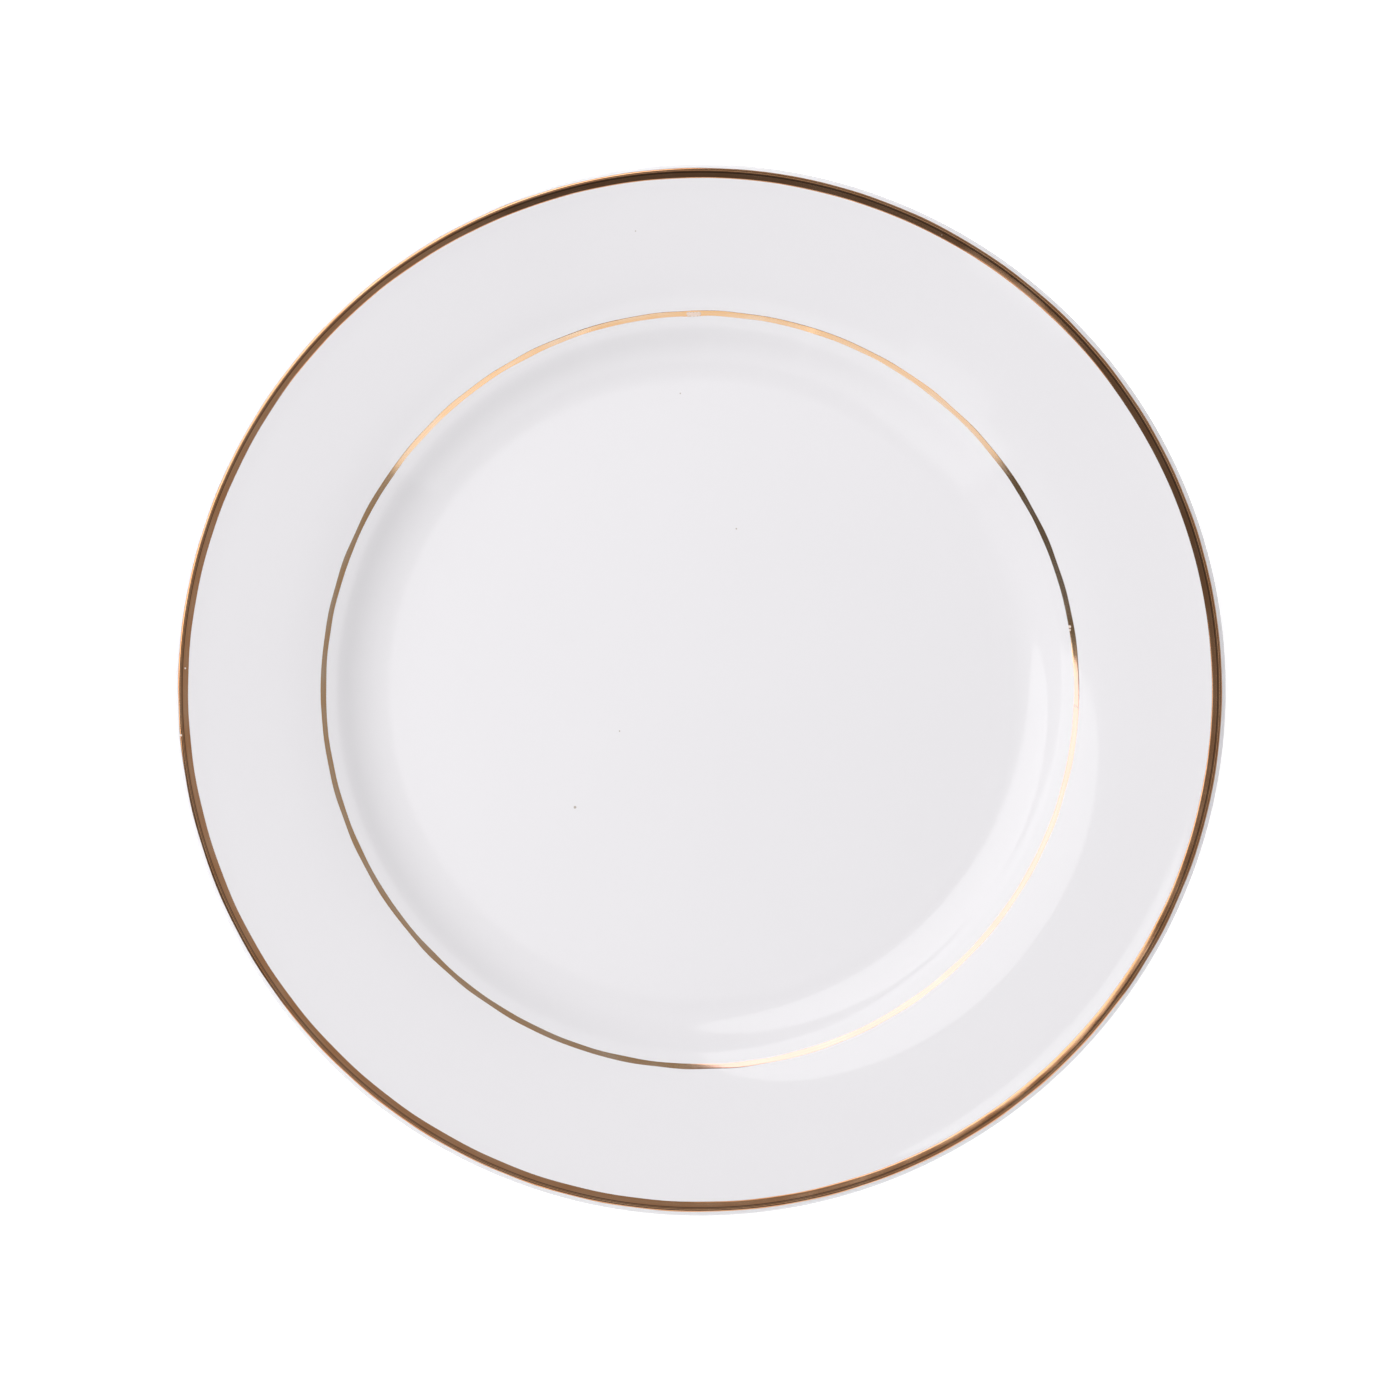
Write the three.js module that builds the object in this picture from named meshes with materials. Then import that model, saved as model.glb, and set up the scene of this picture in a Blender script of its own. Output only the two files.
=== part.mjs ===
// China dinner plate with a gilt band on its lip and a gilt line round the verge, where rim meets well.
// Millimetres and degrees, +Z up. The origin is the centre of the circle that the foot ring stands on.
// The fired body, its glaze and its gilding are separate solids that share the very same surface points.

import * as THREE from "three";

// Plan of the plate.
const plateDiameter = 270;
const vergeDiameter = 193.8; // middle of the gilt line
const cavettoWidth = 17.9; // from the edge of the flat well out to the verge

// Slopes of the face. The cavetto is the curved wall between well and rim.
const cavettoSlope = 32; // at its steepest
const shoulderSlope = 30; // where the cavetto ends in a short round shoulder
const shelfSlope = 19; // past the shoulder, from where the face eases to the rim's slope
const rimSlope = 11;
const flareSlope = 14; // the rim turns up to this near the lip
const lipSlope = 12; // and eases to this where the lip's round begins

// Where the face bends: the first three as shares of the cavetto's width, the others of the rim's.
const steepestAt = 0.66;
const shoulderFrom = 0.765;
const shoulderTo = 0.845;
const rimStraightFrom = 0.32;
const rimStraightTo = 0.78;
const flareAt = 0.86;

// Thicknesses over the glaze, and the foot.
const floorThickness = 3.4;
const lipThickness = 3.2; // the lip is a full round of this thickness
const footHeight = 2.4;
const footWidth = 1.8; // the flat bearing edge, left without glaze
const footInset = 1.5; // from the edge of the flat well in to the middle of the bearing edge
const footDraft = 20; // lean of the foot's two sides from upright
const footFillet = 1.2;

// Glaze and gilding.
const glazeThickness = 0.15;
const bareHeight = 0.5; // the foot's sides are wiped clean of glaze up to here
const giltThickness = 0.05;
const rimBandWidth = 2.6;
const rimBandMargin = 1.05; // white glaze left outside the band
const vergeLineWidth = 1.35;

// Fineness of the solids.
const segments = 48; // a multiple of four, so that the plate is full width along X and Y
const underLipSteps = 4;
const filletSteps = 3;

const radians = THREE.MathUtils.degToRad;
const plateRadius = plateDiameter / 2;
const vergeRadius = vergeDiameter / 2;
const wellRadius = vergeRadius - cavettoWidth;
const rimWidth = plateRadius - vergeRadius;
const lipRadius = lipThickness / 2;
const crestRadius = plateRadius - lipRadius;
const lipStart = crestRadius - lipRadius * Math.sin(radians(lipSlope));
const floorHeight = footHeight + floorThickness;
const footRadius = wellRadius - footInset;

// The face from the axis outwards. It reaches each station at that slope, along one arc or straight
// line from the station before, drawn in that many steps.
const stations = [
  { radius: 0, slope: 0, steps: 0 },
  { radius: wellRadius, slope: 0, steps: 1 },
  { radius: wellRadius + cavettoWidth * steepestAt, slope: radians(cavettoSlope), steps: 4 },
  { radius: wellRadius + cavettoWidth * shoulderFrom, slope: radians(shoulderSlope), steps: 1 },
  { radius: wellRadius + cavettoWidth * shoulderTo, slope: radians(shelfSlope), steps: 2 },
  { radius: vergeRadius + rimWidth * rimStraightFrom, slope: radians(rimSlope), steps: 3 },
  { radius: vergeRadius + rimWidth * rimStraightTo, slope: radians(rimSlope), steps: 1 },
  { radius: vergeRadius + rimWidth * flareAt, slope: radians(flareSlope), steps: 1 },
  { radius: lipStart, slope: radians(lipSlope), steps: 1 },
  { radius: crestRadius, slope: 0, steps: 1 },
  { radius: plateRadius, slope: radians(-90), steps: 4 },
];

// A point of the glaze's outer surface, and the direction that faces away from the china there.
function skinPoint(radius, height, outRadius, outHeight) {
  return { at: new THREE.Vector2(radius, height), out: new THREE.Vector2(outRadius, outHeight) };
}

// The point of the face at a radius. Along an arc, the sine of the slope changes evenly with radius.
function facePoint(radius) {
  let height = floorHeight;
  for (let i = 1; i < stations.length; i++) {
    const [from, to] = [stations[i - 1], stations[i]];
    const bend = (Math.sin(to.slope) - Math.sin(from.slope)) / (to.radius - from.radius);
    const reach = Math.min(radius, to.radius) - from.radius;
    const slope = radius < to.radius ? Math.asin(Math.sin(from.slope) + bend * reach) : to.slope;
    height += bend === 0
      ? reach * Math.tan(slope)
      : (Math.cos(from.slope) - Math.cos(slope)) / bend;
    if (radius <= to.radius) return skinPoint(radius, height, -Math.sin(slope), Math.cos(slope));
  }
}

// Radii of the face's points, in even steps of slope along each arc.
const bendRadii = stations.slice(1).flatMap((to, i) => {
  const from = stations[i];
  const change = Math.sin(to.slope) - Math.sin(from.slope);
  return Array.from({ length: to.steps }, (_, k) => {
    const slope = from.slope + ((to.slope - from.slope) * (k + 1)) / to.steps;
    const share = (Math.sin(slope) - Math.sin(from.slope)) / change;
    return k + 1 === to.steps ? to.radius : from.radius + (to.radius - from.radius) * share;
  });
});

// The gilding's edges are points of the face too, so that gilding and glaze meet exactly.
const rimBand = { inner: plateRadius - rimBandMargin - rimBandWidth, outer: plateRadius - rimBandMargin };
const vergeLine = { inner: vergeRadius - vergeLineWidth / 2, outer: vergeRadius + vergeLineWidth / 2 };
const giltRadii = [rimBand.inner, rimBand.outer, vergeLine.inner, vergeLine.outer];
const faceRadii = [0, ...bendRadii, ...giltRadii].sort((a, b) => a - b);
const face = faceRadii.map(facePoint);

// The lower half of the lip's round, from the edge in to where the underside takes over.
const lipCentreHeight = facePoint(crestRadius).at.y - lipRadius;
const underLip = Array.from({ length: underLipSteps }, (_, k) => {
  const turn = (radians(90 - lipSlope) * (k + 1)) / underLipSteps;
  const radius = crestRadius + lipRadius * Math.cos(turn);
  return skinPoint(radius, lipCentreHeight - lipRadius * Math.sin(turn), Math.cos(turn), -Math.sin(turn));
});

// The underside follows the face, a little thicker towards the well.
function underPoint(radius) {
  const share = (lipStart - radius) / (lipStart - wellRadius);
  const thickness = lipThickness + (floorThickness - lipThickness) * share;
  const { at, out } = facePoint(radius);
  const below = at.clone().addScaledVector(out, -thickness);
  return skinPoint(below.x, below.y, -out.x, -out.y);
}
const underside = bendRadii.filter((radius) => radius > wellRadius && radius < lipStart).map(underPoint);

// One glazed side of the foot ring, from where the glaze starts up to the flat beside its root fillet.
// side is 1 for the outer side and -1 for the inner.
const draft = radians(footDraft);
function footSide(side) {
  const foot = footWidth / 2 + glazeThickness / Math.cos(draft);
  const wiped = foot + bareHeight * Math.tan(draft);
  const filletHeight = footHeight - footFillet;
  const filletCentre = foot + (footFillet + Math.sin(draft) * filletHeight) / Math.cos(draft);
  const start = skinPoint(footRadius + side * wiped, bareHeight, side * Math.cos(draft), -Math.sin(draft));
  const fillet = Array.from({ length: filletSteps + 1 }, (_, k) => {
    const turn = draft + (radians(90) - draft) * (k / filletSteps);
    const out = new THREE.Vector2(side * Math.cos(turn), -Math.sin(turn));
    const radius = footRadius + side * filletCentre - footFillet * out.x;
    return skinPoint(radius, filletHeight - footFillet * out.y, out.x, out.y);
  });
  return [start, ...fillet];
}

// The two glazed skins: one inside the foot ring, and one from its outer side over the lip to the axis.
const recessSkin = [skinPoint(0, footHeight, 0, -1), ...footSide(-1).toReversed()];
const faceSkin = [...footSide(1), ...underside, ...underLip.toReversed(), ...face.toReversed()];

// Outlines at the glaze's outer surface, under the glaze, and over the gilding.
const outside = (skin) => skin.map(({ at }) => at);
const beneath = (skin) => skin.map(({ at, out }) => at.clone().addScaledVector(out, -glazeThickness));
const above = (skin) => skin.map(({ at, out }) => at.clone().addScaledVector(out, giltThickness));

// A solid turned round Z. The outline starts and ends on the axis or closes on itself, and may run either
// way round: its triangles are turned over where they would face inwards.
function turned(name, outline, material) {
  const geometry = new THREE.LatheGeometry(outline, segments);
  if (THREE.ShapeUtils.isClockWise(outline)) geometry.index.array.reverse();
  geometry.rotateX(Math.PI / 2);
  geometry.computeVertexNormals();
  const mesh = new THREE.Mesh(geometry, material);
  mesh.name = name;
  return mesh;
}

function chinaBody() {
  const bearing = [
    new THREE.Vector2(footRadius - footWidth / 2, 0),
    new THREE.Vector2(footRadius + footWidth / 2, 0),
  ];
  const outline = [...beneath(recessSkin), ...bearing, ...beneath(faceSkin)];
  const biscuit = new THREE.MeshStandardMaterial({ color: 0xe6e1da, roughness: 0.6, metalness: 0 });
  return turned("china_body", outline, biscuit);
}

function faceGlaze(glaze) {
  return turned("face_glaze", [...outside(faceSkin).toReversed(), ...beneath(faceSkin)], glaze);
}

function recessGlaze(glaze) {
  return turned("recess_glaze", [...beneath(recessSkin), ...outside(recessSkin).toReversed()], glaze);
}

function gilding(name, { inner, outer }, gold) {
  const covered = face.filter(({ at }) => at.x >= inner && at.x <= outer);
  return turned(name, [...outside(covered), ...above(covered).toReversed(), covered[0].at], gold);
}

const glaze = new THREE.MeshStandardMaterial({ color: 0xebe9ed, roughness: 0.08, metalness: 0 });
const gold = new THREE.MeshStandardMaterial({ color: 0xd9ab6b, roughness: 0.25, metalness: 1 });

const plate = new THREE.Group();
plate.add(
  chinaBody(),
  faceGlaze(glaze),
  recessGlaze(glaze),
  gilding("gold_rim_band", rimBand, gold),
  gilding("gold_verge_line", vergeLine, gold),
);

export default plate;
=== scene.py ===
# China dinner plate, glazed but for the foot's edge, with a gilt band on its lip and a gilt line round
# the verge, where rim meets well.
# Shapes are worked out in millimetres on the plate's section, turned round Z and built in metres.
import math
import random

import bmesh
import bpy
from mathutils import Matrix, Vector


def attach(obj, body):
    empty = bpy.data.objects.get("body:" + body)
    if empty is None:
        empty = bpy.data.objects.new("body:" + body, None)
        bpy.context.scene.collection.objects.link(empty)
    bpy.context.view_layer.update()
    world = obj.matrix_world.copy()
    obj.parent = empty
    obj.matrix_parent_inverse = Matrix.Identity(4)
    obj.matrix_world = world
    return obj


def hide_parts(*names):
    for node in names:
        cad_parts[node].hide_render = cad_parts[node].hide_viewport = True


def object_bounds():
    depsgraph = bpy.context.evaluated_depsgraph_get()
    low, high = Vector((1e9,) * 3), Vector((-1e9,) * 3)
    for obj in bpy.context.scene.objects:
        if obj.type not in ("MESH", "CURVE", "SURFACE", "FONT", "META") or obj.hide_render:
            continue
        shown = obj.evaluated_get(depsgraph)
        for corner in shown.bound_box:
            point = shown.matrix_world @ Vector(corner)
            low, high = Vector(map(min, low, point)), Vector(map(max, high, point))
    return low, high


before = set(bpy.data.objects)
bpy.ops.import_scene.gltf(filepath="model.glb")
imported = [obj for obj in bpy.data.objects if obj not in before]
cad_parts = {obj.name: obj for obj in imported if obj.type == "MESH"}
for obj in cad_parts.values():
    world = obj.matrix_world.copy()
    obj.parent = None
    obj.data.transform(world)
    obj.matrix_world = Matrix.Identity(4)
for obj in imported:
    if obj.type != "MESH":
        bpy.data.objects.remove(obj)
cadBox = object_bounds()
scene = bpy.context.scene
mm = 0.001

print("frame loaded, nodes", sorted(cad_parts))


def linear(hexColour):
    # sRGB hex to the linear colour that the shaders take
    parts = [int(hexColour[i : i + 2], 16) / 255 for i in (1, 3, 5)]
    return [c / 12.92 if c <= 0.04045 else ((c + 0.055) / 1.055) ** 2.4 for c in parts] + [1.0]


def polar(radius, degrees, height=0.0):
    # the point at that radius and azimuth
    angle = math.radians(degrees)
    return Vector((radius * math.cos(angle), radius * math.sin(angle), height))


def addNode(tree, kind, values=None, links=None, **settings):
    # one node: settings are its properties; values and links go to its inputs, by name or place
    made = tree.nodes.new(kind)
    for name, value in settings.items():
        setattr(made, name, value)
    for name, value in (values or {}).items():
        made.inputs[name].default_value = value
    for name, source in (links or {}).items():
        tree.links.new(source, made.inputs[name])
    return made


# Section of the plate in millimetres and degrees. Shares of a width say where the face bends.
section = {
    "plateRadius": cadBox[1].x / mm,
    "vergeRadius": 96.9,  # middle of the gilt line
    "cavettoWidth": 17.9,
    "cavettoSlope": 32,
    "steepestAt": 0.66,
    "shoulderFrom": 0.765,
    "shoulderSlope": 30,
    "shoulderTo": 0.845,
    "shelfSlope": 19,
    "rimSlope": 11,
    "rimStraightFrom": 0.32,
    "rimStraightTo": 0.78,
    "flareSlope": 14,
    "flareAt": 0.86,
    "lipSlope": 12,
    "lipThickness": 3.2,
    "floorThickness": 3.4,
    "footHeight": 2.4,
    "footWidth": 1.8,
    "footInset": 1.5,
    "footDraft": 20,
    "footFillet": 1.2,
    "bareHeight": 0.5,
    "glazeThickness": 0.15,
}

# Fineness of the meshes. Each arc of the section has its own count, as the table of bends says.
fineness = {
    "sides": 288,  # of china and glaze
    "giltSides": 864,
    "underLipSteps": 9,
    "filletSteps": 8,
    "sharpDegrees": 50,  # edges that bend more than this are drawn sharp
}
wellRadius = section["vergeRadius"] - section["cavettoWidth"]
rimWidth = section["plateRadius"] - section["vergeRadius"]
lipRadius = section["lipThickness"] / 2
crestRadius = section["plateRadius"] - lipRadius
lipStart = crestRadius - lipRadius * math.sin(math.radians(section["lipSlope"]))
floorHeight = section["footHeight"] + section["floorThickness"]
footRadius = wellRadius - section["footInset"]


def alongCavetto(share):
    return wellRadius + section["cavettoWidth"] * share


def alongRim(share):
    return section["vergeRadius"] + rimWidth * share


# Radius and slope at each bend of the face, and the steps up to it. Arcs and straight lines join them.
bends = [
    (0, 0, 0),
    (wellRadius, 0, 16),
    (alongCavetto(section["steepestAt"]), section["cavettoSlope"], 16),
    (alongCavetto(section["shoulderFrom"]), section["shoulderSlope"], 3),
    (alongCavetto(section["shoulderTo"]), section["shelfSlope"], 8),
    (alongRim(section["rimStraightFrom"]), section["rimSlope"], 10),
    (alongRim(section["rimStraightTo"]), section["rimSlope"], 6),
    (alongRim(section["flareAt"]), section["flareSlope"], 5),
    (lipStart, section["lipSlope"], 4),
    (crestRadius, 0, 4),
    (section["plateRadius"], -90, 12),
]


def facePoint(radius):
    # the point of the glaze at a radius, and the direction that faces away from the china there;
    # along an arc the sine of the slope changes evenly with radius
    height = floorHeight
    for (fromRadius, fromSlope, _), (toRadius, toSlope, _) in zip(bends, bends[1:]):
        fromSine, toSine = math.sin(math.radians(fromSlope)), math.sin(math.radians(toSlope))
        bend = (toSine - fromSine) / (toRadius - fromRadius)
        reach = min(radius, toRadius) - fromRadius
        slope = math.asin(max(-1, min(1, fromSine + bend * reach)))
        if bend:
            height += (math.cos(math.radians(fromSlope)) - math.cos(slope)) / bend
        else:
            height += reach * math.tan(slope)
        if radius <= toRadius:
            break
    return (radius, height), (-math.sin(slope), math.cos(slope))


def evenly(start, end, count):
    # count values after start, the last of them end
    return [start + (end - start) * (k + 1) / count for k in range(count)]


def bendRadii():
    # radii of the face's points, in even steps of slope along each arc
    radii = [0]
    for (fromRadius, fromSlope, _), (toRadius, toSlope, steps) in zip(bends, bends[1:]):
        fromSine, toSine = math.sin(math.radians(fromSlope)), math.sin(math.radians(toSlope))
        if fromSine == toSine:
            radii += evenly(fromRadius, toRadius, steps)
            continue
        for slope in evenly(math.radians(fromSlope), math.radians(toSlope), steps):
            share = (math.sin(slope) - fromSine) / (toSine - fromSine)
            radii.append(fromRadius + (toRadius - fromRadius) * share)
    return radii


def underPoint(radius):
    # the underside follows the face, a little thicker towards the well
    share = (lipStart - radius) / (lipStart - wellRadius)
    thickness = section["lipThickness"] + (section["floorThickness"] - section["lipThickness"]) * share
    at, out = facePoint(radius)
    return (at[0] - out[0] * thickness, at[1] - out[1] * thickness), (-out[0], -out[1])


def underLip():
    # the lower half of the lip's round, from the edge in to where the underside takes over
    centreHeight = facePoint(crestRadius)[0][1] - lipRadius
    points = []
    for turn in evenly(0, math.radians(90 - section["lipSlope"]), fineness["underLipSteps"]):
        out = (math.cos(turn), -math.sin(turn))
        points.append(((crestRadius + lipRadius * out[0], centreHeight + lipRadius * out[1]), out))
    return points


def footSide(side):
    # one glazed side of the foot ring, 1 outside and -1 inside: where the glaze starts, then the fillet
    draft = math.radians(section["footDraft"])
    foot = section["footWidth"] / 2 + section["glazeThickness"] / math.cos(draft)
    centreHeight = section["footHeight"] - section["footFillet"]
    centre = foot + (section["footFillet"] + math.sin(draft) * centreHeight) / math.cos(draft)
    wiped = foot + section["bareHeight"] * math.tan(draft)
    out = (side * math.cos(draft), -math.sin(draft))
    points = [((footRadius + side * wiped, section["bareHeight"]), out)]
    for turn in [draft] + evenly(draft, math.pi / 2, fineness["filletSteps"]):
        out = (side * math.cos(turn), -math.sin(turn))
        radius = footRadius + side * centre - section["footFillet"] * out[0]
        points.append(((radius, centreHeight - section["footFillet"] * out[1]), out))
    return points


faceRadii = bendRadii()
face = [facePoint(r) for r in faceRadii]
underFrom, underTo = wellRadius + 2, lipStart - 0.01  # so that it clears the foot's fillet and the lip
underside = [underPoint(r) for r in faceRadii if underFrom < r < underTo]
recessSkin = [((0, section["footHeight"]), (0, -1))] + footSide(-1)[::-1]
faceSkin = footSide(1) + underside + underLip()[::-1] + face[::-1]


def shifted(skin, distance):
    # an outline that far outside the glaze's surface, or inside it where the distance is negative
    return [(at[0] + out[0] * distance, at[1] + out[1] * distance) for at, out in skin]


def turnedMesh(name, outlineAt, closed, sides=fineness["sides"]):
    # turns an outline of (radius, height) round Z; outlineAt gives it for an azimuth in degrees, always
    # with as many points, and points on the axis become one vertex
    made = bmesh.new()
    columns = []
    centres = {}
    for k in range(sides):
        azimuth = 360 * k / sides
        column = []
        for place, (radius, height) in enumerate(outlineAt(azimuth)):
            if radius > 1e-6:
                column.append(made.verts.new(polar(radius * mm, azimuth, height * mm)))
                continue
            if place not in centres:
                centres[place] = made.verts.new((0, 0, height * mm))
            column.append(centres[place])
        columns.append(column)
    for here, following in zip(columns, columns[1:] + columns[:1]):
        last = len(here) if closed else len(here) - 1
        for i in range(last):
            j = (i + 1) % len(here)
            corners = [here[i], here[j], following[j], following[i]]
            made.faces.new(list(dict.fromkeys(corners)))
    bmesh.ops.recalc_face_normals(made, faces=made.faces)
    for edge in made.edges:
        edge.smooth = edge.calc_face_angle(0) < math.radians(fineness["sharpDegrees"])
    mesh = bpy.data.meshes.new(name)
    made.to_mesh(mesh)
    made.free()
    for polygon in mesh.polygons:
        polygon.use_smooth = True
    piece = bpy.data.objects.new(name, mesh)
    scene.collection.objects.link(piece)
    return piece


def place(piece, node, slot, material):
    piece.data.materials.append(material)
    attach(piece, "root")
    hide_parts(node)


def newFinish(name):
    made = bpy.data.materials.new(name)
    made.use_nodes = True
    made.node_tree.nodes.clear()
    return made, made.node_tree


def finishWith(tree, shader):
    addNode(tree, "ShaderNodeOutputMaterial", links={"Surface": shader.outputs[0]})


def noiseAt(tree, where, sizeMm, detail):
    # noise whose features are about that wide
    return addNode(
        tree,
        "ShaderNodeTexNoise",
        values={"Scale": 1 / (sizeMm * mm), "Detail": detail},
        links={"Vector": where},
    )


def blend(tree, share, first, second):
    # a colour from first to second; each is a hex colour or another node's output
    made = addNode(tree, "ShaderNodeMix", data_type="RGBA")
    tree.links.new(share, made.inputs[0])
    for socket, colour in ((6, first), (7, second)):
        if isinstance(colour, str):
            made.inputs[socket].default_value = linear(colour)
        else:
            tree.links.new(colour, made.inputs[socket])
    return made.outputs[2]


def within(tree, where, centre, reach):
    # 1 inside a ball round the centre and 0 outside it, with a soft edge
    softness = reach * 0.15
    away = addNode(
        tree,
        "ShaderNodeVectorMath",
        values={1: centre},
        links={0: where},
        operation="DISTANCE",
    )
    return addNode(
        tree,
        "ShaderNodeMapRange",
        values={"From Min": reach + softness, "From Max": reach - softness},
        links={"Value": away.outputs["Value"]},
    ).outputs[0]


def ringAt(tree, radius, centre, width):
    # 1 on a thin ring, its centre line and width in millimetres, and 0 off it, with soft edges
    half, softness = width / 2 * mm, width / 10 * mm
    off = addNode(tree, "ShaderNodeMath", values={1: centre * mm}, links={0: radius}, operation="SUBTRACT")
    away = addNode(tree, "ShaderNodeMath", links={0: off.outputs[0]}, operation="ABSOLUTE")
    return addNode(
        tree,
        "ShaderNodeMapRange",
        values={"From Min": half + softness, "From Max": half - softness},
        links={"Value": away.outputs[0]},
    ).outputs[0]


def sector(tree, level, azimuth, spread):
    # 1 within that many degrees of the azimuth and 0 beyond, with a soft edge; level is the place without
    # its height
    softness = 3
    aimed = addNode(tree, "ShaderNodeVectorMath", links={0: level}, operation="NORMALIZE")
    facing = addNode(
        tree,
        "ShaderNodeVectorMath",
        values={1: polar(1, azimuth)},
        links={0: aimed.outputs[0]},
        operation="DOT_PRODUCT",
    )
    return addNode(
        tree,
        "ShaderNodeMapRange",
        values={
            "From Min": math.cos(math.radians(spread + softness)),
            "From Max": math.cos(math.radians(spread - softness)),
        },
        links={"Value": facing.outputs["Value"]},
    ).outputs[0]


def anyOf(tree, masks):
    # the largest of several masks
    joined = masks[0]
    for mask in masks[1:]:
        joined = addNode(tree, "ShaderNodeMath", links={0: joined, 1: mask}, operation="MAXIMUM").outputs[0]
    return joined


# Fired bone china without glaze, where the foot was wiped clean: a dry, warm white with a fine grain.
biscuit = {
    "colour": "#e9e4dc",
    "shade": "#d6cdbf",  # grey-brown rub from standing on tables
    "roughness": 0.6,
    "grainMm": 0.3,
    "rubMm": 6,
    "grainDepthMm": 0.02,
}


def biscuitChina():
    made, tree = newFinish("biscuitChina")
    where = addNode(tree, "ShaderNodeTexCoord").outputs["Object"]
    grain = noiseAt(tree, where, biscuit["grainMm"], 4.0).outputs["Fac"]
    rub = noiseAt(tree, where, biscuit["rubMm"], 3.0).outputs["Fac"]
    bump = addNode(
        tree,
        "ShaderNodeBump",
        values={"Strength": 1.0, "Distance": biscuit["grainDepthMm"] * mm},
        links={"Height": grain},
    )
    shader = addNode(
        tree,
        "ShaderNodeBsdfPrincipled",
        values={"Roughness": biscuit["roughness"]},
        links={
            "Base Color": blend(tree, rub, biscuit["colour"], biscuit["shade"]),
            "Normal": bump.outputs["Normal"],
        },
    )
    finishWith(tree, shader)
    return made


# Bone china under a clear glaze: a cool white with the faintest lilac cast. The glaze pooled in firing, so
# it is a crisp mirror with slow ripples, and a few specks of kiln dust are sealed in it.
glazed = {
    "colour": "#edebee",
    "shade": "#ebe9ec",
    "cloudMm": 45,
    "roughness": 0.035,
    "ior": 1.43,  # a little under the usual 1.5, so that its reflections stay faint
    "rippleMm": 14,
    "rippleDepthMm": 0.012,
    "peelMm": 2.5,  # the finest unevenness, like orange peel
    "peelDepthMm": 0.0006,
    "speckColour": "#bdb3aa",
    # azimuth, radius and width of each speck
    "specks": [
        (223.2, 44.2, 0.7),
        (207.1, 23.3, 0.35),
        (77.3, 42.6, 0.4),
        (93.8, 76.6, 0.35),
        (98, 119, 0.3),
    ],
}


def glazedChina():
    made, tree = newFinish("glazedChina")
    where = addNode(tree, "ShaderNodeTexCoord").outputs["Object"]
    cloud = noiseAt(tree, where, glazed["cloudMm"], 3.0).outputs["Fac"]
    ripple = noiseAt(tree, where, glazed["rippleMm"], 1.0).outputs["Fac"]
    peel = noiseAt(tree, where, glazed["peelMm"], 1.0).outputs["Fac"]
    specks = []
    for azimuth, radius, width in glazed["specks"]:
        height = facePoint(radius)[0][1]
        specks.append(within(tree, where, polar(radius * mm, azimuth, height * mm), width / 2 * mm))
    waved = addNode(
        tree,
        "ShaderNodeBump",
        values={"Strength": 1.0, "Distance": glazed["rippleDepthMm"] * mm},
        links={"Height": ripple},
    )
    peeled = addNode(
        tree,
        "ShaderNodeBump",
        values={"Strength": 1.0, "Distance": glazed["peelDepthMm"] * mm},
        links={"Height": peel, "Normal": waved.outputs["Normal"]},
    )
    white = blend(tree, cloud, glazed["colour"], glazed["shade"])
    shader = addNode(
        tree,
        "ShaderNodeBsdfPrincipled",
        values={"Roughness": glazed["roughness"], "IOR": glazed["ior"]},
        links={
            "Base Color": blend(tree, anyOf(tree, specks), white, glazed["speckColour"]),
            "Normal": peeled.outputs["Normal"],
        },
    )
    finishWith(tree, shader)
    return made


# Liquid bright gold, painted on by brush as the plate turned and fired on top of the glaze: a warm mirror
# with fine streaks round the plate, paler and rougher where the brush left it thin, and tiny pinholes. A
# ring may also have one side coloured paler and rosier, a painted highlight where the key box mirrors in
# it.
gilt = {
    "streakMm": 0.45,  # across the streaks
    "streakLengthMm": 40,
    "patchMm": 9,
    "worn": (0.12, 0.42),  # streak times patch, from where the gold is full to where it is thinnest
    "smooth": 0.05,
    "rough": 0.13,
    "streakDepthMm": 0.0015,
    "wavesPerEdge": 5,  # slow waves in each wavering edge
    "wavesRound": (9, 61),  # fewest and most of one wave's crests round the plate
    "bare": "#e9d3c6",  # china tinted by the gold's edge
}


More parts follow.
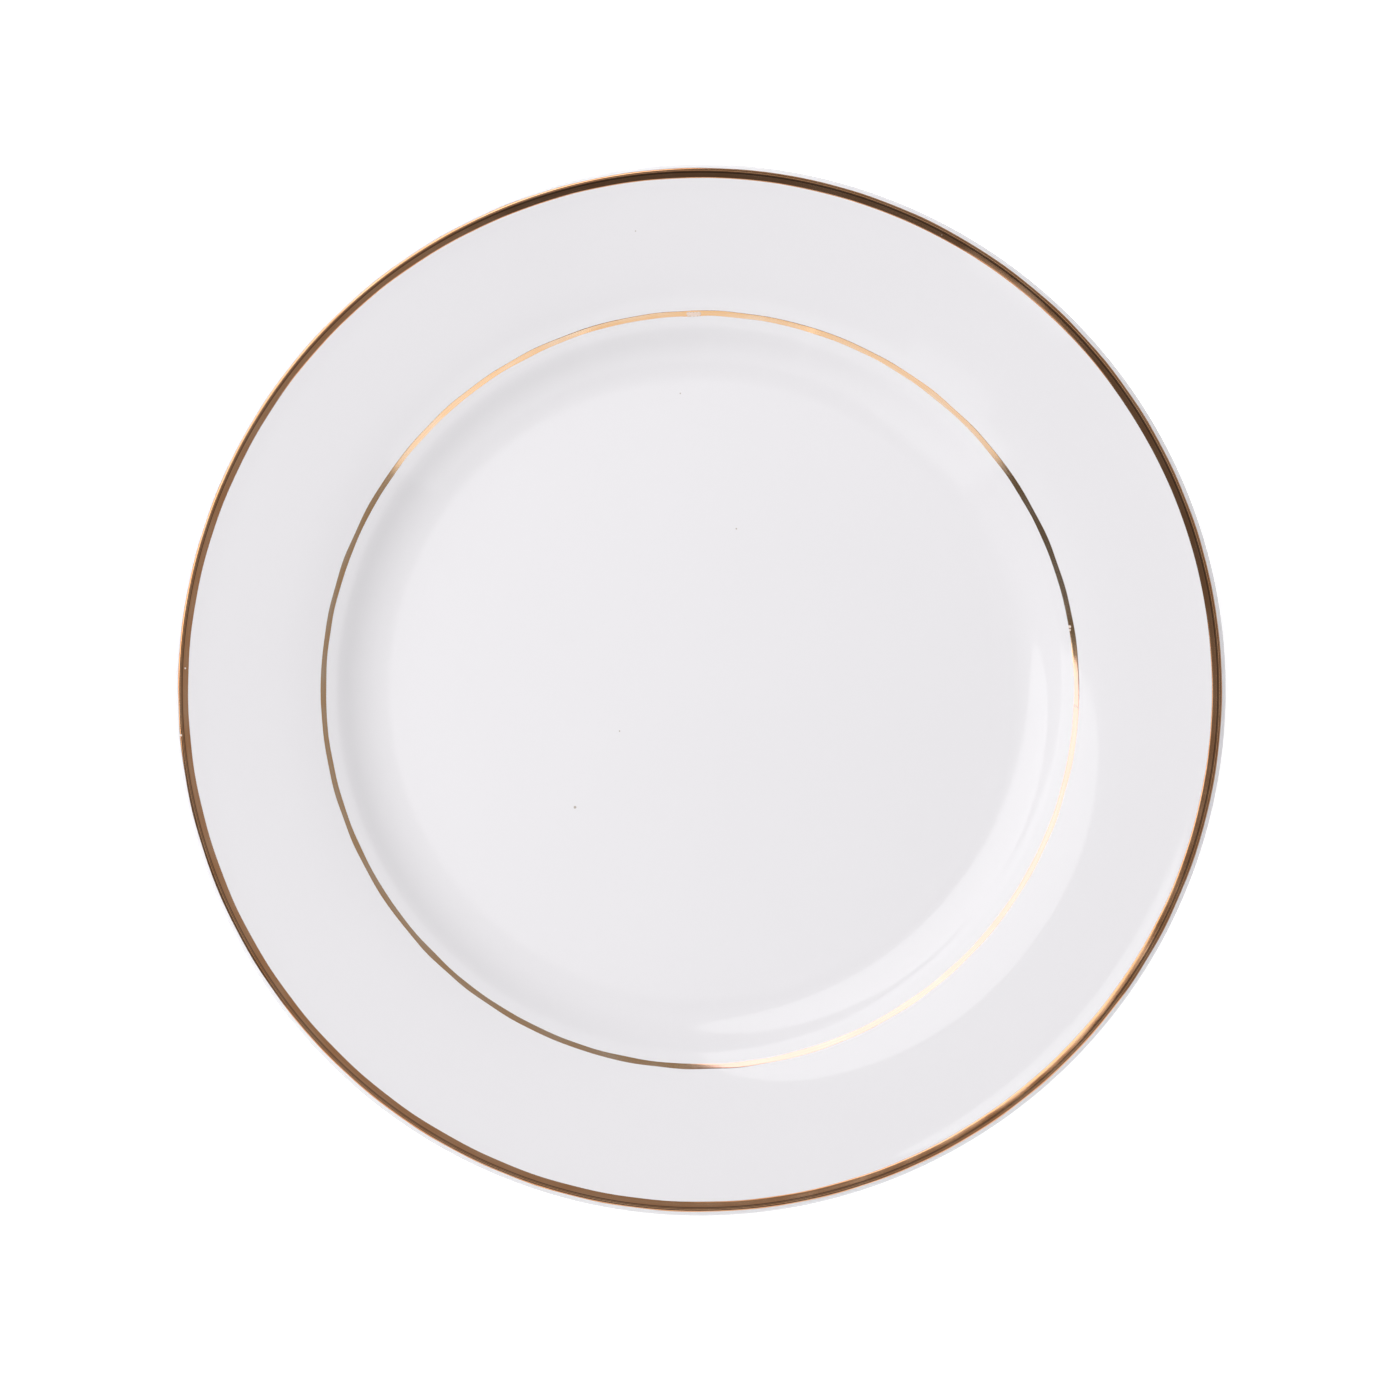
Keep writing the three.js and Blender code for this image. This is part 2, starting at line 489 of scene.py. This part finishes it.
def firedGold(name, ring):
    made, tree = newFinish(name)
    where = addNode(tree, "ShaderNodeTexCoord").outputs["Object"]
    level = addNode(
        tree,
        "ShaderNodeVectorMath",
        values={1: (1, 1, 0)},
        links={0: where},
        operation="MULTIPLY",
    ).outputs[0]
    radius = addNode(tree, "ShaderNodeVectorMath", links={0: level}, operation="LENGTH").outputs["Value"]
    # noise that changes fast with radius and slowly along the ring
    stretch = gilt["streakMm"] / gilt["streakLengthMm"]
    spread = addNode(
        tree,
        "ShaderNodeVectorMath",
        values={1: (stretch, stretch, 0)},
        links={0: where},
        operation="MULTIPLY",
    )
    lifted = addNode(tree, "ShaderNodeCombineXYZ", links={"Z": radius})
    along = addNode(
        tree,
        "ShaderNodeVectorMath",
        links={0: spread.outputs[0], 1: lifted.outputs[0]},
        operation="ADD",
    )
    streak = noiseAt(tree, along.outputs[0], gilt["streakMm"], 2.0).outputs["Fac"]
    patch = noiseAt(tree, where, gilt["patchMm"], 2.0).outputs["Fac"]
    wear = addNode(tree, "ShaderNodeMath", links={0: streak, 1: patch}, operation="MULTIPLY").outputs[0]
    thinness = addNode(
        tree,
        "ShaderNodeMapRange",
        values={"From Min": gilt["worn"][0], "From Max": gilt["worn"][1]},
        links={"Value": wear},
    ).outputs[0]
    roughness = addNode(
        tree,
        "ShaderNodeMapRange",
        values={"To Min": gilt["smooth"], "To Max": gilt["rough"]},
        links={"Value": thinness},
    )
    bump = addNode(
        tree,
        "ShaderNodeBump",
        values={"Strength": 1.0, "Distance": gilt["streakDepthMm"] * mm},
        links={"Height": streak},
    )
    holes = []
    for azimuth, at, width in ring["flaws"]:
        height = facePoint(at)[0][1]
        holes.append(within(tree, where, polar(at * mm, azimuth, height * mm), width / 2 * mm))
    hole = anyOf(tree, holes)
    metal = addNode(tree, "ShaderNodeMath", values={0: 1.0}, links={1: hole}, operation="SUBTRACT")
    colour = blend(tree, thinness, ring["full"], ring["thin"])
    # painted highlight: within the sector the ring's gold takes paler, rosier colours, standing in for the
    # key box's bright reflection
    if "paintedHighlight" in ring:
        paintedHighlight = ring["paintedHighlight"]
        side = sector(tree, level, paintedHighlight["azimuth"], paintedHighlight["spread"])
        colour = blend(tree, side, colour, blend(tree, thinness, paintedHighlight["full"], paintedHighlight["thin"]))
    if "seam" in ring:
        seam = ring["seam"]
        colour = blend(tree, ringAt(tree, radius, seam["radius"], seam["width"]), colour, seam["colour"])
    shader = addNode(
        tree,
        "ShaderNodeBsdfPrincipled",
        links={
            "Base Color": blend(tree, hole, colour, gilt["bare"]),
            "Metallic": metal.outputs[0],
            "Roughness": roughness.outputs[0],
            "Normal": bump.outputs["Normal"],
        },
    )
    finishWith(tree, shader)
    return made


# The gilding's outlines, in millimetres. Its edges waver as a hand-held brush does.
rimBand = {
    "inner": section["plateRadius"] - 3.65,
    "outer": section["plateRadius"] - 1.05,
    "waver": 0.05,
    "steps": 16,
    "lift": 0.045,
    "edge": 0.1,  # width over which the film rounds off
    "full": "#dfa274",
    "thin": "#e9b892",
    # where two strokes of the brush meet, the gold is a thin dark line
    "seam": {"radius": section["plateRadius"] - 2.15, "width": 0.2, "colour": "#7d5a42"},
    # azimuth, radius and width of each pinhole
    "flaws": [(177.6, 132.2, 0.45), (185.0, 133.7, 0.6), (62.0, 132.2, 0.18)],
}
vergeLine = {
    "inner": section["vergeRadius"] - 0.675,
    "outer": section["vergeRadius"] + 0.675,
    "waver": 0.07,
    "steps": 8,
    "lift": 0.03,
    "edge": 0.03,
    "full": "#edbf8f",
    "thin": "#f0d2b6",
    # painted highlight: on the side that mirrors the key box the gold is coloured paler and rosier, so that
    # its bright reflection comes out cream rather than yellow
    "paintedHighlight": {"azimuth": 317, "spread": 47, "full": "#d9ae9f", "thin": "#dfb6a8"},
    # a nick, a short break, and the bare patch where the stroke ends on its start
    "flaws": [
        (9.7, 96.5, 0.8),
        (9.2, 96.4, 0.55),
        (-2.4, 96.7, 0.7),
        (-2.7, 97.2, 0.5),
        (90.2, 96.75, 1.2),
        (90.7, 96.65, 1.3),
        (91.2, 96.65, 1.3),
        (91.7, 96.75, 1.2),
    ],
    "overlap": {"azimuth": 91.0, "length": 3.0, "swell": 0.14},
}


def wavering(ring, seed):
    # how far the inner and outer edges stray, for an azimuth: a few slow waves each
    shuffled = random.Random(seed)
    waves = []
    for side in [0] * gilt["wavesPerEdge"] + [1] * gilt["wavesPerEdge"]:
        waves.append((shuffled.randint(*gilt["wavesRound"]), shuffled.uniform(0, 360), side))
    overlap = ring.get("overlap")

    def strayAt(azimuth):
        stray = [0.0, 0.0]
        for count, phase, side in waves:
            stray[side] += ring["waver"] / 3 * math.sin(math.radians(count * azimuth + phase))
        if overlap:
            off = (azimuth - overlap["azimuth"]) / (overlap["length"] / 2)
            swell = overlap["swell"] * math.exp(-off * off)
            stray = [stray[0] - swell, stray[1] + swell]
        return stray

    return strayAt


def giltRing(name, ring, seed):
    # a film that follows the glaze, rounded off to nothing at its edges
    strayAt = wavering(ring, seed)

    def outlineAt(azimuth):
        inward, outward = strayAt(azimuth)
        inner, outer = ring["inner"] + inward, ring["outer"] + outward
        edge = ring["edge"]
        middle = evenly(inner + edge / 3, outer - edge / 3, ring["steps"])
        radii = [inner, inner + edge / 3] + middle + [outer]
        top = []
        for radius in radii:
            depth = min(radius - inner, outer - radius, edge) / edge
            top += shifted([facePoint(radius)], ring["lift"] * math.sqrt(depth * (2 - depth)))
        bottom = shifted([facePoint(radius) for radius in radii[1:-1]], 0.0)
        return top + bottom[::-1]

    return turnedMesh(name, outlineAt, closed=True, sides=fineness["giltSides"])


glaze = glazedChina()
under = -section["glazeThickness"]

bearing = [(footRadius - section["footWidth"] / 2, 0), (footRadius + section["footWidth"] / 2, 0)]
chinaOutline = shifted(recessSkin, under) + bearing + shifted(faceSkin, under)
chinaBody = turnedMesh("chinaBody", lambda azimuth: chinaOutline, closed=False)
place(chinaBody, "china_body", "china", biscuitChina())

faceOutline = shifted(faceSkin, 0)[::-1] + shifted(faceSkin, under)
faceGlaze = turnedMesh("faceGlaze", lambda azimuth: faceOutline, closed=False)
place(faceGlaze, "face_glaze", "glaze", glaze)

recessOutline = shifted(recessSkin, under) + shifted(recessSkin, 0)[::-1]
recessGlaze = turnedMesh("recessGlaze", lambda azimuth: recessOutline, closed=False)
place(recessGlaze, "recess_glaze", "glaze", glaze)

goldRimBand = giltRing("goldRimBand", rimBand, seed=3)
bandGold = firedGold("bandGold", rimBand)
place(goldRimBand, "gold_rim_band", "gilding", bandGold)

goldVergeLine = giltRing("goldVergeLine", vergeLine, seed=8)
lineGold = firedGold("lineGold", vergeLine)
place(goldVergeLine, "gold_verge_line", "gilding", lineGold)

print("pieces made")

# A white sweep on a table. Its own glow is weak by the plate, where the lamps light it and faint shadows
# fall, and grows outwards as their light gives out, so that it stays white all the way.
sweep = {"size": 12.0, "colour": "#f2f2f2", "nearGlow": 0.4, "farGlow": 1.0, "growsOver": (0.5, 1.2)}


def sweepPaper():
    made, tree = newFinish("sweepPaper")
    where = addNode(tree, "ShaderNodeTexCoord").outputs["Object"]
    away = addNode(tree, "ShaderNodeVectorMath", links={0: where}, operation="LENGTH")
    growth = addNode(
        tree,
        "ShaderNodeMapRange",
        values={
            "From Min": sweep["growsOver"][0],
            "From Max": sweep["growsOver"][1],
            "To Min": sweep["nearGlow"],
            "To Max": sweep["farGlow"],
        },
        links={"Value": away.outputs["Value"]},
    )
    paper = addNode(tree, "ShaderNodeBsdfDiffuse", values={"Color": linear(sweep["colour"])})
    glow = addNode(tree, "ShaderNodeEmission", links={"Strength": growth.outputs[0]})
    both = addNode(tree, "ShaderNodeAddShader", links={0: paper.outputs[0], 1: glow.outputs[0]})
    finishWith(tree, both)
    return made


def sweepFloor():
    half = sweep["size"] / 2
    height = -0.05 * mm  # just clear of the foot, so that the two faces never flicker
    corners = [(-half, -half, height), (half, -half, height), (half, half, height), (-half, half, height)]
    mesh = bpy.data.meshes.new("floor")
    mesh.from_pydata(corners, [], [(0, 1, 2, 3)])
    mesh.materials.append(sweepPaper())
    floor = bpy.data.objects.new("floor", mesh)
    scene.collection.objects.link(floor)


# The studio: brightness of its walls by azimuth in degrees, its dark ceiling, and the white backdrop.
studio = {
    "walls": [
        (0, 0.36),
        (40, 0.36),
        (90, 0.31),
        (130, 0.28),
        (150, 0.21),
        (180, 0.21),
        (195, 0.12),
        (230, 0.13),
        (290, 0.09),
        (302, 0.25),
        (330, 0.33),
        (360, 0.36),
    ],
    "ceiling": 0.09,
    "ceilingEdge": (15, 19),  # degrees from overhead where the ceiling gives way to the walls
    "backdrop": 1.0,
}


def studioWorld():
    world = bpy.data.worlds.new("studio")
    world.use_nodes = True
    tree = world.node_tree
    tree.nodes.clear()
    where = addNode(tree, "ShaderNodeTexCoord").outputs["Generated"]
    split = addNode(tree, "ShaderNodeSeparateXYZ", links={0: where}).outputs
    angle = addNode(tree, "ShaderNodeMath", links={0: split["Y"], 1: split["X"]}, operation="ARCTAN2")
    turn = addNode(
        tree,
        "ShaderNodeMath",
        values={1: 2 * math.pi},
        links={0: angle.outputs[0]},
        operation="FLOORED_MODULO",
    )
    share = addNode(
        tree,
        "ShaderNodeMath",
        values={1: 2 * math.pi},
        links={0: turn.outputs[0]},
        operation="DIVIDE",
    )
    walls = addNode(tree, "ShaderNodeValToRGB", links={"Fac": share.outputs[0]})
    marks = walls.color_ramp.elements
    while len(marks) < len(studio["walls"]):
        marks.new(0.5)
    for mark, (azimuth, level) in zip(marks, studio["walls"]):
        mark.position = azimuth / 360
        mark.color = (level, level, level, 1)
    inner, outer = studio["ceilingEdge"]
    overhead = addNode(
        tree,
        "ShaderNodeMapRange",
        values={"From Min": math.cos(math.radians(outer)), "From Max": math.cos(math.radians(inner))},
        links={"Value": split["Z"]},
    )
    ceiling = addNode(tree, "ShaderNodeRGB")
    ceiling.outputs[0].default_value = [studio["ceiling"]] * 3 + [1]
    surround = blend(tree, overhead.outputs[0], walls.outputs[0], ceiling.outputs[0])
    lit = addNode(tree, "ShaderNodeBackground", links={"Color": surround})
    white = addNode(tree, "ShaderNodeBackground", values={"Color": [studio["backdrop"]] * 3 + [1]})
    seen = addNode(tree, "ShaderNodeLightPath").outputs["Is Camera Ray"]
    pick = addNode(tree, "ShaderNodeMixShader", links={0: seen, 1: lit.outputs[0], 2: white.outputs[0]})
    addNode(tree, "ShaderNodeOutputWorld", links={"Surface": pick.outputs[0]})
    scene.world = world


def lampPanel(name, centre, across, up, width, depth, radiance, mirrored=True, rounded=False):
    # a soft box of even radiance, rectangular or elliptical, that shines against across x up
    lamp = bpy.data.lights.new(name, "AREA")
    lamp.shape = "ELLIPSE" if rounded else "RECTANGLE"
    lamp.size = width
    lamp.size_y = depth
    area = width * depth * (math.pi / 4 if rounded else 1)
    lamp.energy = radiance * math.pi * area
    stand = bpy.data.objects.new(name, lamp)
    turned = Matrix((across, up, across.cross(up))).transposed().to_4x4()
    stand.matrix_world = Matrix.Translation(centre) @ turned
    scene.collection.objects.link(stand)
    stand.visible_camera = False
    stand.visible_glossy = mirrored


# The key soft box is oval and hangs level. Its edges are distances from above the plate, as shares of its
# height: near and far towards its azimuth, right and left of that.
keyBox = {
    "azimuth": 132,
    "height": 1.2,
    "near": 0.295,
    "far": 1.7,
    "right": 0.7,
    "left": 0.97,
    "radiance": 1.85,
}

# Upright panels round the table. The low one only lights the china and shows in no mirror.
panels = {
    "fillPanels": {
        "azimuths": [235, 270.5, 306],
        "away": 1.2,
        "width": 0.78,
        "foot": 0.2,
        "head": 2.45,
        "radiance": 0.9,
    },
    "fillStrip": {
        "azimuths": [231],
        "away": 1.2,
        "width": 0.3,
        "foot": 2.45,
        "head": 3.15,
        "radiance": 0.7,
    },
    "lowPanel": {
        "azimuths": [142],
        "away": 1.2,
        "width": 1.2,
        "foot": 0.2,
        "head": 1.0,
        "radiance": 2.4,
        "mirrored": False,
    },
}

# Level panels straight overhead: a broad one that lights the china and shows in no mirror, and a small one
# that draws the thin bright line on the lip's crest.
overheads = {
    "topPanel": {"height": 1.6, "width": 2.4, "radiance": 0.36, "mirrored": False},
    "crestPanel": {"height": 4.0, "width": 0.5, "radiance": 0.65},
}


def hangKeyBox():
    ahead, aside = polar(1, keyBox["azimuth"]), polar(1, keyBox["azimuth"] + 90)
    forward = (keyBox["near"] + keyBox["far"]) / 2
    sideways = (keyBox["left"] - keyBox["right"]) / 2
    lampPanel(
        "keyBox",
        (ahead * forward + aside * sideways + Vector((0, 0, 1))) * keyBox["height"],
        ahead,
        aside,
        (keyBox["far"] - keyBox["near"]) * keyBox["height"],
        (keyBox["left"] + keyBox["right"]) * keyBox["height"],
        keyBox["radiance"],
        rounded=True,
    )


def standPanels():
    for name, azimuth in [(name, azimuth) for name in panels for azimuth in panels[name]["azimuths"]]:
        panel = panels[name]
        lampPanel(
            name,
            polar(panel["away"], azimuth, (panel["foot"] + panel["head"]) / 2),
            polar(1, azimuth + 90),
            Vector((0, 0, 1)),
            panel["width"],
            panel["head"] - panel["foot"],
            panel["radiance"],
            panel.get("mirrored", True),
        )


def hangOverheads():
    for name, panel in overheads.items():
        lampPanel(
            name,
            Vector((0, 0, panel["height"])),
            Vector((1, 0, 0)),
            Vector((0, 1, 0)),
            panel["width"],
            panel["width"],
            panel["radiance"],
            panel.get("mirrored", True),
        )


# The camera looks straight down from far off. The view is frameWidth wide at the lip's crest.
lens = {"focal": 300, "sensor": 36, "frameWidth": 0.3592, "offAxis": -0.0026}


def standCamera():
    camera = bpy.data.cameras.new("camera")
    camera.sensor_width = lens["sensor"]
    camera.lens = lens["focal"]
    stand = bpy.data.objects.new("camera", camera)
    distance = lens["frameWidth"] * lens["focal"] / lens["sensor"]
    stand.location = (0, lens["offAxis"], cadBox[1].z + distance)
    scene.collection.objects.link(stand)
    scene.camera = stand


sweepFloor()
studioWorld()
hangKeyBox()
standPanels()
hangOverheads()
standCamera()
scene.view_settings.view_transform = "Standard"
scene.view_settings.look = "None"

print("room, lamps and camera made")
